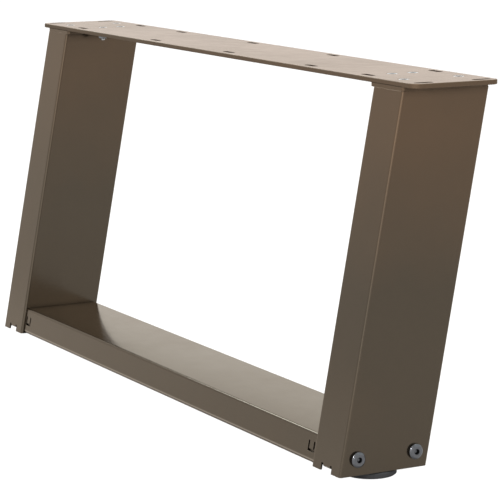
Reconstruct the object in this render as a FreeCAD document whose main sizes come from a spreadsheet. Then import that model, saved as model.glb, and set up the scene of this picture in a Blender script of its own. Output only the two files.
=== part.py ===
"""U-shaped table leg: two leaning box posts, a foot rail and a slotted top plate.

The origin is the centre of the top plate's upper face, with Z up. X runs along the
plate, and the posts lean, so that their feet stand towards -Y. Lengths are in millimetres.
"""

import FreeCAD
import Part
import Sketcher
import math
import os

SIZES = {
    "leg_height": 402.0,
    "lean_angle": 10.3,
    # top plate
    "plate_length": 896.0,
    "plate_depth": 104.0,
    "plate_thick": 5.0,
    "plate_corner": 10.0,
    "plate_edge": 0.6,
    "plate_overhang": 20.0,
    # slots for fixing a table top
    "slot_length": 22.0,
    "slot_width": 7.0,
    "row_slot_margin": 11.0,
    "row_slot_pitch": 184.0,
    "row_slot_shift": 46.0,
    "post_slot_gap": 27.0,
    "end_slot_margin": 10.0,
    "end_slot_inset": 17.5,
    # posts, folded from sheet
    "post_width": 56.0,
    "post_depth": 104.0,
    "post_wall": 2.0,
    "fold_radius": 3.0,
    "foot_gap": 7.0,
    "notch_width": 20.5,
    "notch_slit": 3.5,
    "notch_slit_height": 8.0,
    "tab_rise": 4.2,
    "tab_reach": 16.0,
    # flange welded on each post
    "flange_thick": 4.0,
    "flange_overhang": 6.0,
    "flange_fillet": 4.0,
    "tongue_reach": 40.0,
    "tongue_width": 50.0,
    # countersunk screws and their nuts
    "outer_screw_margin": 19.0,
    "inner_screw_x": 54.0,
    "inner_screw_y": 12.5,
    "screw_diameter": 6.0,
    "screw_length": 16.0,
    "screw_head_diameter": 12.0,
    "screw_socket": 4.0,
    "screw_socket_depth": 2.2,
    "screw_recess": 0.2,
    "screw_nut_flats": 10.0,
    "screw_nut_height": 5.0,
    # rail between the posts
    "rail_height": 31.5,
    "rail_rise": 1.0,
    "rail_wall": 2.0,
    "rail_inset": 3.0,
    "rail_lip": 12.0,
    "lance_width": 13.0,
    "lance_height": 11.0,
    "lance_slit": 2.6,
    "lance_margin": 4.0,
    "lance_drop": 9.5,
    # end brackets of the rail
    "bracket_wall": 3.0,
    "bracket_gap": 1.0,
    "ear_length": 30.0,
    # bolts through the posts
    "bolt_drop": 15.5,
    "bolt_margin": 17.7,
    "bolt_diameter": 8.0,
    "bolt_length": 70.0,
    "bolt_head_diameter": 16.0,
    "bolt_head_height": 4.4,
    "bolt_head_rim": 2.8,
    "bolt_head_flat": 12.0,
    "bolt_socket": 5.0,
    "bolt_socket_depth": 2.6,
    "bolt_nut_flats": 13.0,
    "bolt_nut_height": 6.5,
    "sleeve_diameter": 13.0,
    # levelling feet
    "foot_plate_thick": 3.0,
    "foot_plate_gap": 1.0,
    "foot_nut_flats": 17.0,
    "foot_nut_height": 8.0,
    "stem_diameter": 10.0,
    "stem_length": 50.0,
    "stem_collar_diameter": 18.0,
    "stem_collar_height": 2.8,
    "stem_hex_flats": 14.0,
    "stem_hex_height": 2.8,
    "stem_hex_gap": 0.4,
    "pad_diameter": 57.0,
    "pad_clearance": 0.4,
    "pad_edge": 1.2,
    "pad_floor": 2.0,
    "hub_diameter": 26.0,
    "hub_height": 2.8,
    # clearances
    "hole_clearance": 0.3,
    "thread_clearance": 0.05,
    "end_chamfer": 1.0,
}

SIDES = {"left": -1, "right": 1}
ENDS = {"front": -1, "back": 1}
X_AXIS, Y_AXIS = range(-1, -3, -1)
ORIGIN = X_AXIS
START, END, CENTRE = range(1, 4)
OVERSHOOT = 5.0


class Length:
    """A length that carries its value and the spreadsheet expression it follows."""

    def __init__(self, text, value):
        self.text = text
        self.value = value

    def __add__(self, other):
        other = as_length(other)
        return Length(f"({self.text} + {other.text})", self.value + other.value)

    def __sub__(self, other):
        other = as_length(other)
        return Length(f"({self.text} - {other.text})", self.value - other.value)

    def __mul__(self, other):
        other = as_length(other)
        return Length(f"({self.text} * {other.text})", self.value * other.value)

    def __truediv__(self, other):
        other = as_length(other)
        return Length(f"({self.text} / {other.text})", self.value / other.value)

    def __neg__(self):
        return Length(f"(0 - {self.text})", -self.value)


def as_length(number):
    """Give a plain number the form of a Length."""
    if isinstance(number, Length):
        return number
    return Length(repr(float(number)), float(number))


def size(alias):
    """Read one driving dimension from the spreadsheet."""
    return Length(f"Sizes.{alias}", float(sheet.get(alias)))


def write_sheet():
    """Fill the spreadsheet with the driving dimensions."""
    table = doc.addObject("Spreadsheet::Sheet", "Sizes")
    for row, (alias, number) in enumerate(SIZES.items(), 1):
        table.set(f"A{row}", alias)
        table.set(f"B{row}", str(number))
        table.setAlias(f"B{row}", alias)
    doc.recompute()
    return table


def bind(target, name, length):
    """Tie one property to the spreadsheet."""
    target.setExpression(name, as_length(length).text)


def place(target, x=0, y=0, z=0, rotation=None):
    """Put a sub-part at a point that follows the spreadsheet."""
    spot = [as_length(number) for number in (x, y, z)]
    base = FreeCAD.Vector(*[number.value for number in spot])
    target.Placement = FreeCAD.Placement(base, rotation or FreeCAD.Rotation())
    for axis, number in zip("xyz", spot):
        bind(target, f"Placement.Base.{axis}", number)


def new_body(label):
    """Start a sub-part."""
    body = doc.addObject("PartDesign::Body", label)
    body.Label = label
    return body


def new_sketch(body, name, plane, offset=None):
    """Start a sketch on one of the body's own planes, or parallel to it."""
    sketch = body.newObject("Sketcher::SketchObject", f"{body.Name}_{name}_sketch")
    role = f"{plane}_Plane"
    support = next(item for item in body.Origin.OriginFeatures if item.Role == role)
    sketch.AttachmentSupport = [(support, "")]
    sketch.MapMode = "FlatFace"
    if offset is not None:
        bind(sketch, "AttachmentOffset.Base.z", offset)
    return sketch


def dimension(sketch, constraint, length):
    """Add a dimension that follows the spreadsheet."""
    index = sketch.addConstraint(constraint)
    bind(sketch, f"Constraints[{index}]", length)


def pin(sketch, geometry, point, x, y):
    """Hold one point at its distances from the sketch origin."""
    for kind, axis, distance in (("DistanceX", Y_AXIS, x), ("DistanceY", X_AXIS, y)):
        if isinstance(distance, Length):
            rule = Sketcher.Constraint(kind, ORIGIN, START, geometry, point, distance.value)
            dimension(sketch, rule, distance)
        else:
            sketch.addConstraint(Sketcher.Constraint("PointOnObject", geometry, point, axis))


def vector(x, y):
    """Turn two lengths into a point of the sketch plane."""
    return FreeCAD.Vector(as_length(x).value, as_length(y).value, 0)


def polygon(sketch, points, dome=None):
    """Draw a closed outline; the side numbered dome is an arc, anticlockwise, centred on the Y axis."""
    first = sketch.GeometryCount
    count = len(points)
    spots = [vector(x, y) for x, y in points]
    for index, spot in enumerate(spots):
        after = spots[(index + 1) % count]
        if index == dome:
            height = dome_centre(spot, after)
            middle = FreeCAD.Vector(0, height, 0)
            circle_line = Part.Circle(middle, FreeCAD.Vector(0, 0, 1), (spot - middle).Length)
            limits = [math.atan2(point.y - height, point.x) for point in (spot, after)]
            sketch.addGeometry(Part.ArcOfCircle(circle_line, *limits), False)
        else:
            sketch.addGeometry(Part.LineSegment(spot, after), False)
    for index, (x, y) in enumerate(points):
        before = (index - 1) % count
        rule = Sketcher.Constraint("Coincident", first + before, END, first + index, START)
        sketch.addConstraint(rule)
        pin(sketch, first + index, START, x, y)
    if dome is not None:
        rule = Sketcher.Constraint("PointOnObject", first + dome, CENTRE, Y_AXIS)
        sketch.addConstraint(rule)


def dome_centre(lower, upper):
    """Height of the centre, on the axis, of the arc through two points."""
    rise = (upper.x ** 2 + upper.y ** 2) - (lower.x ** 2 + lower.y ** 2)
    return rise / (2 * (upper.y - lower.y))


def circle(sketch, x, y, radius):
    """Draw a circle."""
    index = sketch.addGeometry(Part.Circle(vector(x, y), FreeCAD.Vector(0, 0, 1), radius.value), False)
    pin(sketch, index, CENTRE, x, y)
    dimension(sketch, Sketcher.Constraint("Radius", index, radius.value), radius)


def arc(sketch, x, y, radius, start_degrees, end_degrees):
    """Draw an arc and hold its centre."""
    whole = Part.Circle(vector(x, y), FreeCAD.Vector(0, 0, 1), radius.value)
    limits = (math.radians(start_degrees), math.radians(end_degrees))
    index = sketch.addGeometry(Part.ArcOfCircle(whole, *limits), False)
    pin(sketch, index, CENTRE, x, y)
    return index


def rounded_loop(sketch, corners, radius):
    """Join arcs of one radius, given as (x, y, start, end), with tangent lines."""
    arcs = [arc(sketch, x, y, radius, start, end) for x, y, start, end in corners]
    for index, here in enumerate(arcs):
        after = arcs[(index + 1) % len(arcs)]
        leave = sketch.Geometry[here].EndPoint
        reach = sketch.Geometry[after].StartPoint
        line = sketch.addGeometry(Part.LineSegment(leave, reach), False)
        sketch.addConstraint(Sketcher.Constraint("Tangent", here, END, line, START))
        sketch.addConstraint(Sketcher.Constraint("Tangent", line, END, after, START))
    for other in arcs[1:]:
        sketch.addConstraint(Sketcher.Constraint("Equal", arcs[0], other))
    dimension(sketch, Sketcher.Constraint("Radius", arcs[0], radius.value), radius)


def rounded_rectangle(sketch, width, depth, radius):
    """Draw a rectangle with round corners about the origin."""
    x = width / 2 - radius
    y = depth / 2 - radius
    corners = [(x, -y, -90, 0), (x, y, 0, 90), (-x, y, 90, 180), (-x, -y, 180, 270)]
    rounded_loop(sketch, corners, radius)


def slot(sketch, x, y, upright=False):
    """Draw one fixing slot, along the sketch's X or Y."""
    radius = size("slot_width") / 2
    reach = size("slot_length") / 2 - radius
    if upright:
        corners = [(x, y - reach, 180, 360), (x, y + reach, 0, 180)]
    else:
        corners = [(x + reach, y, -90, 90), (x - reach, y, 90, 270)]
    rounded_loop(sketch, corners, radius)


def hexagon(sketch, flats):
    """Draw a hexagon about the origin, with two flats along Y."""
    reach = flats / math.sqrt(3)
    half = flats / 2
    points = [(0, reach), (half, reach / 2), (half, -reach / 2)]
    points += [(0, -reach), (-half, -reach / 2), (-half, reach / 2)]
    polygon(sketch, points)


def pad(body, name, sketch, length, reverse=False, symmetric=False):
    """Raise a sketch into a solid."""
    feature = body.newObject("PartDesign::Pad", f"{body.Name}_{name}")
    feature.Profile = sketch
    feature.Reversed = reverse
    feature.SideType = "Symmetric" if symmetric else "One side"
    bind(feature, "Length", length)
    return feature


def pocket(body, name, sketch, depth=None):
    """Cut a sketch to a depth below it, or both ways through the whole body."""
    doc.recompute()
    before = body.Shape.Volume
    feature = body.newObject("PartDesign::Pocket", f"{body.Name}_{name}")
    feature.Profile = sketch
    if depth is None:
        feature.Type = "ThroughAll"
        feature.SideType = "Symmetric"
    else:
        bind(feature, "Length", depth)
    doc.recompute()
    if body.Shape.Volume >= before:
        raise RuntimeError(f"{feature.Label} cuts nothing")
    return feature


def revolve(body, name, sketch):
    """Turn a half section about the body's Z axis."""
    feature = body.newObject("PartDesign::Revolution", f"{body.Name}_{name}")
    feature.Profile = sketch
    feature.ReferenceAxis = (sketch, ["V_Axis"])
    feature.Angle = 360
    return feature


def round_edges(body, name, radius, wanted, kind="Fillet"):
    """Fillet or chamfer the edges of the body that a test picks."""
    doc.recompute()
    base = body.Tip
    edges = [f"Edge{index}" for index, edge in enumerate(base.Shape.Edges, 1) if wanted(edge)]
    feature = body.newObject(f"PartDesign::{kind}", f"{body.Name}_{name}")
    feature.Base = (base, edges)
    bind(feature, "Radius" if kind == "Fillet" else "Size", radius)
    return feature


def runs_along(edge, axis):
    """Tell whether an edge is straight and parallel to a main axis."""
    if edge.Curve.TypeId != "Part::GeomLine":
        return False
    return abs(edge.Curve.Direction.dot(axis)) > 0.999


def is_circle(edge, radius, height):
    """Tell whether an edge is a circle of this radius at this height."""
    if edge.Curve.TypeId != "Part::GeomCircle":
        return False
    right_height = abs(edge.Curve.Center.z - as_length(height).value) < 0.01
    return right_height and abs(edge.Curve.Radius - radius.value) < 0.01


def cylinder(label, radius, height):
    """Make a round bar on the XY plane."""
    bar = doc.addObject("Part::Cylinder", label)
    bind(bar, "Radius", radius)
    bind(bar, "Height", height)
    return bar


def cut(label, base, tool):
    """Make a sub-part by taking one solid from another."""
    result = doc.addObject("Part::Cut", label)
    result.Label = label
    result.Base = base
    result.Tool = tool
    return result


def nut(label, flats, height, bore):
    """Make a hexagon nut that stands on the XY plane."""
    block = doc.addObject("Part::Prism", f"{label}_block")
    block.Polygon = 6
    bind(block, "Circumradius", flats / math.sqrt(3))
    bind(block, "Height", height)
    return cut(label, block, cylinder(f"{label}_bore", bore, height))


def facing(side):
    """Turn a part built for the right-hand post to face the other way on the left."""
    return FreeCAD.Rotation(FreeCAD.Vector(0, 0, 1), 0 if side > 0 else 180)


def lying(side):
    """Lay an upright part along X, with its top towards the outside."""
    return FreeCAD.Rotation(FreeCAD.Vector(0, 1, 0), 90 * side)


doc = FreeCAD.newDocument("table_leg")
sheet = write_sheet()

# Levels and places that several pieces share
post_half = size("post_width") / 2
post_x = size("plate_length") / 2 - size("plate_overhang") - post_half
post_inner_x = post_x - post_half
post_outer_x = post_x + post_half
post_top = -(size("plate_thick") + size("flange_thick"))
post_bottom = size("foot_gap") - size("leg_height")
rail_bottom = post_bottom + size("rail_rise")
rail_top = rail_bottom + size("rail_height")
bolt_z = rail_top - size("bolt_drop")
tab_z = post_bottom + size("tab_rise")
foot_plate_z = tab_z + size("post_wall")
slope = Length("tan(Sizes.lean_angle * 1 deg)", math.tan(math.radians(SIZES["lean_angle"])))
bolt_offset = size("post_depth") / 2 - size("bolt_margin")
screw_hole = size("screw_diameter") / 2 + size("hole_clearance")
bolt_hole = size("bolt_diameter") / 2 + size("hole_clearance")
along_x = FreeCAD.Vector(1, 0, 0)
along_z = FreeCAD.Vector(0, 0, 1)


def axis_y(z):
    """Y of the leaning posts' middle at a height."""
    return slope * (z - post_top)


def front_y(z):
    """Y of the posts' front face at a height."""
    return axis_y(z) - size("post_depth") / 2


def back_y(z):
    """Y of the posts' back face at a height."""
    return axis_y(z) + size("post_depth") / 2


def rail_front_y(z):
    """Y of the rail's front face at a height."""
    return front_y(z) + size("rail_inset")


def rail_back_y(z):
    """Y of the rail's back face at a height."""
    return back_y(z) - size("rail_inset")


def screw_places():
    """Name the countersunk screws of one post, with X from its middle and Y."""
    outer_y = size("post_depth") / 2 - size("outer_screw_margin")
    for end, way in ENDS.items():
        yield f"outer_{end}", as_length(0), outer_y * way
        yield f"inner_{end}", -size("inner_screw_x"), size("inner_screw_y") * way


def build_top_plate():
    """Slotted steel plate that a table top is screwed to."""
    body = new_body("top_plate")
    outline = new_sketch(body, "outline", "XY")
    rounded_rectangle(outline, size("plate_length"), size("plate_depth"), size("plate_corner"))
    pad(body, "sheet", outline, size("plate_thick"), reverse=True)

    round_edges(body, "edges", size("plate_edge"), lambda edge: not runs_along(edge, along_z), "Chamfer")

    slots = new_sketch(body, "slots", "XY")
    row_y = size("plate_depth") / 2 - size("row_slot_margin")
    inset_y = size("plate_depth") / 2 - size("end_slot_inset")
    end_x = size("plate_length") / 2 - size("end_slot_margin")
    by_post_x = post_inner_x - size("post_slot_gap")
    for way in ENDS.values():
        for hand in SIDES.values():
            slot(slots, by_post_x * hand, row_y * way)
            slot(slots, end_x * hand, inset_y * way, upright=True)
        for step in (-1, 0, 1):
            x = size("row_slot_pitch") * step - size("row_slot_shift") * way
            slot(slots, x, row_y * way)
    pocket(body, "slot_cut", slots)

    holes = new_sketch(body, "screw_holes", "XY")
    for hand in SIDES.values():
        for _, x, y in screw_places():
            circle(holes, (post_x + x) * hand, y, screw_hole)
    pocket(body, "screw_hole_cut", holes)
    sink = size("screw_head_diameter") / 2 + size("hole_clearance") - screw_hole
    round_edges(body, "countersinks", sink, lambda edge: is_circle(edge, screw_hole, 0), "Chamfer")
    return [body]


def build_flange(side_name, side):
    """Flange on top of a post, with a tongue that reaches under the plate."""
    body = new_body(f"{side_name}_post_flange")
    outer = post_half
    inner = -(post_half + size("flange_overhang"))
    tip = -(post_half + size("tongue_reach"))
    half_depth = size("post_depth") / 2
    half_tongue = size("tongue_width") / 2
    outline = new_sketch(body, "outline", "XY")
    points = [(outer, -half_depth), (outer, half_depth), (inner, half_depth), (inner, half_tongue)]
    points += [(tip, half_tongue), (tip, -half_tongue), (inner, -half_tongue), (inner, -half_depth)]
    polygon(outline, points)
    pad(body, "sheet", outline, size("flange_thick"))
    round_edges(body, "corners", size("flange_fillet"), lambda edge: runs_along(edge, along_z))

    holes = new_sketch(body, "screw_holes", "XY")
    for _, x, y in screw_places():
        circle(holes, x if x.value else 0, y, screw_hole)
    pocket(body, "screw_hole_cut", holes)
    place(body, post_x * side, 0, post_top, facing(side))
    return [body]


def build_post(side_name, side):
    """Leaning box post, with a lug folded in at the bottom of its front and back."""
    body = new_body(f"{side_name}_post")
    wall = size("post_wall")
    section = new_sketch(body, "section", "XY", post_top)
    rounded_rectangle(section, size("post_width"), size("post_depth"), size("fold_radius"))
    inner_radius = size("fold_radius") - wall
    rounded_rectangle(section, size("post_width") - wall * 2, size("post_depth") - wall * 2, inner_radius)
    tube = pad(body, "tube", section, post_top - post_bottom)
    tube.UseCustomVector = True
    tube.AlongSketchNormal = True
    tube.Direction = FreeCAD.Vector(0, -slope.value, -1)
    bind(tube, "Direction.y", -slope)

    bolt_holes = new_sketch(body, "bolt_holes", "YZ")
    for way in ENDS.values():
        circle(bolt_holes, axis_y(bolt_z) + bolt_offset * way, bolt_z, bolt_hole)
    pocket(body, "bolt_hole_cut", bolt_holes)

    edge = size("notch_width") / 2
    lug = edge - size("notch_slit")
    slit_top = post_bottom + size("notch_slit_height")
    below = post_bottom - OVERSHOOT
    notch = new_sketch(body, "notch", "XZ")
    points = [(-edge, below), (-edge, slit_top), (-lug, slit_top), (-lug, tab_z)]
    points += [(lug, tab_z), (lug, slit_top), (edge, slit_top), (edge, below)]
    polygon(notch, points)
    pocket(body, "notch_cut", notch)

    lugs = new_sketch(body, "lugs", "XY", tab_z)
    reach = size("tab_reach")
    middle_of_wall = wall / 2
    for face, way in ((front_y(tab_z), 1), (back_y(tab_z), -1)):
        start = face + middle_of_wall * way
        tip = face + reach * way
        polygon(lugs, [(-lug, start), (lug, start), (lug, tip), (-lug, tip)])
    pad(body, "lug_sheet", lugs, wall)

    def lug_fold(edge_line):
        middle = edge_line.CenterOfMass
        outside = (front_y(tab_z).value, back_y(tab_z).value)
        level = abs(middle.z - tab_z.value) < 0.01
        return runs_along(edge_line, along_x) and level and min(abs(middle.y - y) for y in outside) < 0.01

    round_edges(body, "lug_folds", wall, lug_fold)
    place(body, post_x * side)
    return [body]


def build_rail():
    """Folded channel, open below, that ties the posts together near the floor."""
    body = new_body("rail")
    wall = size("rail_wall")
    lip = size("rail_lip")
    above_lip = rail_bottom + wall
    below_web = rail_top - wall
    section = new_sketch(body, "section", "YZ")
    points = [
        (rail_front_y(rail_bottom) + lip, rail_bottom),
        (rail_front_y(rail_bottom), rail_bottom),
        (rail_front_y(rail_top), rail_top),
        (rail_back_y(rail_top), rail_top),
        (rail_back_y(rail_bottom), rail_bottom),
        (rail_back_y(rail_bottom) - lip, rail_bottom),
        (rail_back_y(rail_bottom) - lip, above_lip),
        (rail_back_y(above_lip) - wall, above_lip),
        (rail_back_y(below_web) - wall, below_web),
        (rail_front_y(below_web) + wall, below_web),
        (rail_front_y(above_lip) + wall, above_lip),
        (rail_front_y(rail_bottom) + lip, above_lip),
    ]
    polygon(section, points)
    pad(body, "channel", section, post_inner_x * 2, symmetric=True)

    def at_points(edge, indexes):
        middle = edge.CenterOfMass
        spots = [vector(*points[index]) for index in indexes]
        near = min(math.hypot(middle.y - spot.x, middle.z - spot.y) for spot in spots)
        return runs_along(edge, along_x) and near < 0.01

    outer_folds = (1, 2, 3, 4)
    inner_folds = (7, 8, 9, 10)
    round_edges(body, "outer_folds", size("fold_radius"), lambda edge: at_points(edge, outer_folds))
    inner_radius = size("fold_radius") - wall
    round_edges(body, "inner_folds", inner_radius, lambda edge: at_points(edge, inner_folds))

    slits = new_sketch(body, "lances", "XZ")
    slit = size("lance_slit")
    top = rail_top - size("lance_drop")
    foot = top - size("lance_height")
    outer = post_inner_x - size("lance_margin")
    inner = outer - size("lance_width")
    for hand in SIDES.values():
        points_of_slit = [(outer, top), (outer, foot), (inner, foot), (inner, top)]
        points_of_slit += [(inner + slit, top), (inner + slit, foot + slit)]
        points_of_slit += [(outer - slit, foot + slit), (outer - slit, top)]
        polygon(slits, [(x * hand, z) for x, z in points_of_slit])
    pocket(body, "lance_cut", slits)
    return [body]


def build_rail_bracket(side_name, side):
    """Nut bracket inside one end of the rail: a plate with two ears."""
    body = new_body(f"{side_name}_rail_bracket")
    wall = size("bracket_wall")
    rail_wall = size("rail_wall")
    top = rail_top - size("fold_radius") - size("bracket_gap")
    foot = rail_bottom + size("fold_radius") + size("bracket_gap")
    at_post = post_inner_x * side
    inward = side > 0

    plate = new_sketch(body, "plate", "YZ", at_post)
    corners = [(rail_front_y(foot) + rail_wall, foot), (rail_back_y(foot) - rail_wall, foot)]
    corners += [(rail_back_y(top) - rail_wall, top), (rail_front_y(top) + rail_wall, top)]
    polygon(plate, corners)
    for way in ENDS.values():
        circle(plate, axis_y(bolt_z) + bolt_offset * way, bolt_z, bolt_hole)
    pad(body, "plate_sheet", plate, wall, reverse=inward)

    ears = new_sketch(body, "ears", "YZ", at_post)
    for face_y, way in ((rail_front_y, 1), (rail_back_y, -1)):
        near = rail_wall * way
        far = (rail_wall + wall) * way
        points = [(face_y(foot) + near, foot), (face_y(foot) + far, foot)]
        points += [(face_y(top) + far, top), (face_y(top) + near, top)]
        polygon(ears, points)
    pad(body, "ear_sheets", ears, size("ear_length"), reverse=inward)
    return [body]


def build_screws(side_name, side):
    """Countersunk screws that hold the plate to one flange, with their nuts."""
    made = []
    head = size("screw_head_diameter") / 2
    shank = size("screw_diameter") / 2
    length = size("screw_length")
    chamfer = size("end_chamfer")
    for name, x, y in screw_places():
        body = new_body(f"{side_name}_{name}_screw")
        section = new_sketch(body, "section", "XZ")
        points = [(0, 0), (head, 0), (shank, shank - head), (shank, chamfer - length)]
        points += [(shank - chamfer, -length), (0, -length)]
        polygon(section, points)
        revolve(body, "turned", section)
        socket = new_sketch(body, "socket", "XY")
        hexagon(socket, size("screw_socket"))
        pocket(body, "socket_cut", socket, size("screw_socket_depth"))
        place(body, (post_x + x) * side, y, -size("screw_recess"))

        bore = shank + size("thread_clearance")
        height = size("screw_nut_height")
        piece = nut(f"{side_name}_{name}_nut", size("screw_nut_flats"), height, bore)
        place(piece, (post_x + x) * side, y, post_top - height)
        made += [body, piece]
    return made


def build_rail_bolts(side_name, side):
    """Button-head bolts through one post into the rail, with sleeves and nuts."""
    made = []
    shank = size("bolt_diameter") / 2
    head = size("bolt_head_diameter") / 2
    height = size("bolt_head_height")
    length = size("bolt_length")
    chamfer = size("end_chamfer")
    flat = size("bolt_head_flat") / 2
    for end, way in ENDS.items():
        y = axis_y(bolt_z) + bolt_offset * way
        body = new_body(f"{side_name}_{end}_rail_bolt")
        section = new_sketch(body, "section", "XZ")
        points = [(0, -length), (shank - chamfer, -length), (shank, chamfer - length), (shank, 0)]
        points += [(head, 0), (head, size("bolt_head_rim")), (flat, height), (0, height)]
        polygon(section, points, dome=5)
        revolve(body, "turned", section)
        socket = new_sketch(body, "socket", "XY", height)
        hexagon(socket, size("bolt_socket"))
        pocket(body, "socket_cut", socket, size("bolt_socket_depth"))
        place(body, post_outer_x * side, y, bolt_z, lying(side))

        room = size("post_width") - size("post_wall") * 2
        label = f"{side_name}_{end}_sleeve"
        tube = cylinder(f"{label}_bar", size("sleeve_diameter") / 2, room)
        sleeve = cut(label, tube, cylinder(f"{label}_bore", bolt_hole, room))
        place(sleeve, (post_inner_x + size("post_wall")) * side, y, bolt_z, lying(side))

        bore = shank + size("thread_clearance")
        nut_height = size("bolt_nut_height")
        piece = nut(f"{side_name}_{end}_rail_nut", size("bolt_nut_flats"), nut_height, bore)
        nut_x = post_inner_x - size("bracket_wall") - nut_height
        place(piece, nut_x * side, y, bolt_z, lying(side))
        made += [body, sleeve, piece]
    return made


def build_foot(side_name, side):
    """Levelling foot of one post: carrier plate, nut, threaded stem and swivel pad."""
    x = post_x * side
    y = axis_y(post_bottom)
    floor = -size("leg_height")
    stem = size("stem_diameter") / 2

    carrier = new_body(f"{side_name}_foot_plate")
    outline = new_sketch(carrier, "outline", "XY")
    trim = (size("post_wall") + size("foot_plate_gap")) * 2
    rounded_rectangle(outline, size("post_width") - trim, size("post_depth") - trim, size("fold_radius"))
    circle(outline, 0, y - axis_y(foot_plate_z), stem + size("hole_clearance"))
    pad(carrier, "sheet", outline, size("foot_plate_thick"))
    place(carrier, x, axis_y(foot_plate_z), foot_plate_z)

    bore = stem + size("thread_clearance")
    holder = nut(f"{side_name}_foot_nut", size("foot_nut_flats"), size("foot_nut_height"), bore)
    place(holder, x, y, foot_plate_z + size("foot_plate_thick"))

    disc = size("pad_diameter") / 2
    hub = size("hub_diameter") / 2
    socket = size("stem_collar_diameter") / 2 + size("thread_clearance")
    throat = stem + size("hole_clearance")
    disc_top = size("foot_gap") - size("pad_clearance")
    hub_top = disc_top + size("hub_height")
    collar_top = size("pad_floor") + size("stem_collar_height")
    ceiling = collar_top + size("thread_clearance") * 2
    pad_body = new_body(f"{side_name}_foot_pad")
    section = new_sketch(pad_body, "section", "XZ")
    points = [(0, 0), (disc, 0), (disc, disc_top), (hub, disc_top), (hub, hub_top), (throat, hub_top)]
    points += [(throat, ceiling), (socket, ceiling), (socket, size("pad_floor")), (0, size("pad_floor"))]
    polygon(section, points)
    revolve(pad_body, "moulded", section)
    rims = (as_length(0), disc_top)

    def on_rim(edge):
        """Whether an edge runs round the disc."""
        return any(is_circle(edge, disc, height) for height in rims)

    round_edges(pad_body, "rims", size("pad_edge"), on_rim, "Chamfer")
    place(pad_body, x, y, floor)

    stem_body = new_body(f"{side_name}_foot_stem")
    collar = size("stem_collar_diameter") / 2
    top = hub_top + size("stem_length")
    chamfer = size("end_chamfer")
    base = size("pad_floor") + size("thread_clearance")
    turned = new_sketch(stem_body, "section", "XZ")
    points = [(0, base), (collar, base), (collar, collar_top), (stem, collar_top)]
    points += [(stem, top - chamfer), (stem - chamfer, top), (0, top)]
    polygon(turned, points)
    revolve(stem_body, "turned", turned)
    wrench = new_sketch(stem_body, "hexagon", "XY", hub_top + size("stem_hex_gap"))
    hexagon(wrench, size("stem_hex_flats"))
    pad(stem_body, "wrench_flats", wrench, size("stem_hex_height"))
    place(stem_body, x, y, floor)
    return [carrier, holder, pad_body, stem_body]


def build():
    """Make every sub-part."""
    parts = build_top_plate() + build_rail()
    for side_name, side in SIDES.items():
        parts += build_flange(side_name, side)
        parts += build_post(side_name, side)
        parts += build_rail_bracket(side_name, side)
        parts += build_screws(side_name, side)
        parts += build_rail_bolts(side_name, side)
        parts += build_foot(side_name, side)
    return parts


def check(parts):
    """Stop if any object failed or any sub-part is not one sound solid."""
    doc.recompute()
    for item in doc.Objects:
        if "Invalid" in item.State or "Error" in item.State:
            raise RuntimeError(f"{item.Label} failed: {item.State}")
    for part in parts:
        shape = part.Shape
        if shape.isNull() or not shape.isValid() or len(shape.Solids) != 1:
            raise RuntimeError(f"{part.Label} is not one valid solid")


def write(parts):
    """Write each sub-part to its own file."""
    os.makedirs("parts", exist_ok=True)
    for part in parts:
        part.Shape.exportStep(f"parts/{part.Label}.step")


sub_parts = build()
check(sub_parts)
write(sub_parts)
print(len(sub_parts), "sub-parts written")
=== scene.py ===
"""U-shaped table leg: finishes, fasteners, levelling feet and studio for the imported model."""

import logging
import math
from collections.abc import Callable
from dataclasses import dataclass
from enum import Enum

import bmesh
import bpy
from bpy.types import Material, Node, NodeSocket, NodeTree, Object
from mathutils import Euler, Matrix, Vector


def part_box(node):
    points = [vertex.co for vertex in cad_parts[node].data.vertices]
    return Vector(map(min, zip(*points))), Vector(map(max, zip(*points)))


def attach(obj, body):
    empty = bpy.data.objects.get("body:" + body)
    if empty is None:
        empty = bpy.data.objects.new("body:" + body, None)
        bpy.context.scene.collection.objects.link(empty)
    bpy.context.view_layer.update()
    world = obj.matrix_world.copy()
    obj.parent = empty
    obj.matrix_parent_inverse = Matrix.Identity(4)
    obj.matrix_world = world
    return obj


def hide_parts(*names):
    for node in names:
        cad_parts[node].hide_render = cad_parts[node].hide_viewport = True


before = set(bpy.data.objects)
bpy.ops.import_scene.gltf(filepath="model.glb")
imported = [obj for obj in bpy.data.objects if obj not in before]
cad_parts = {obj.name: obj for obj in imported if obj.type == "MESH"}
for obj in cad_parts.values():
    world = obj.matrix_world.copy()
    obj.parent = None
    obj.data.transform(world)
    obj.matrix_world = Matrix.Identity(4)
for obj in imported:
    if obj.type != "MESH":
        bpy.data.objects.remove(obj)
log = logging.getLogger("table_leg")
Colour = tuple[float, float, float]
Point = tuple[float, float, float]
Span = tuple[float, float]
Outline = Callable[[float], float]
MM = 0.001
WHITE: Colour = (1.0, 1.0, 1.0)


class Slot(str, Enum):
    """Material slots of the part's record."""

    BRONZE = "bronze_coat"
    BRIGHT = "bright_steel"
    DARK = "dark_steel"
    ZINC = "zinc_steel"
    CHARCOAL = "charcoal_plastic"


class Side(Enum):
    """The two ends of the leg, with the direction of each along X."""

    LEFT = -1
    RIGHT = 1

    @property
    def word(self) -> str:
        """The side's name as node names spell it."""
        return self.name.lower()


class Edge(str, Enum):
    """The two long edges of the leg."""

    FRONT = "front"
    BACK = "back"


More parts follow.
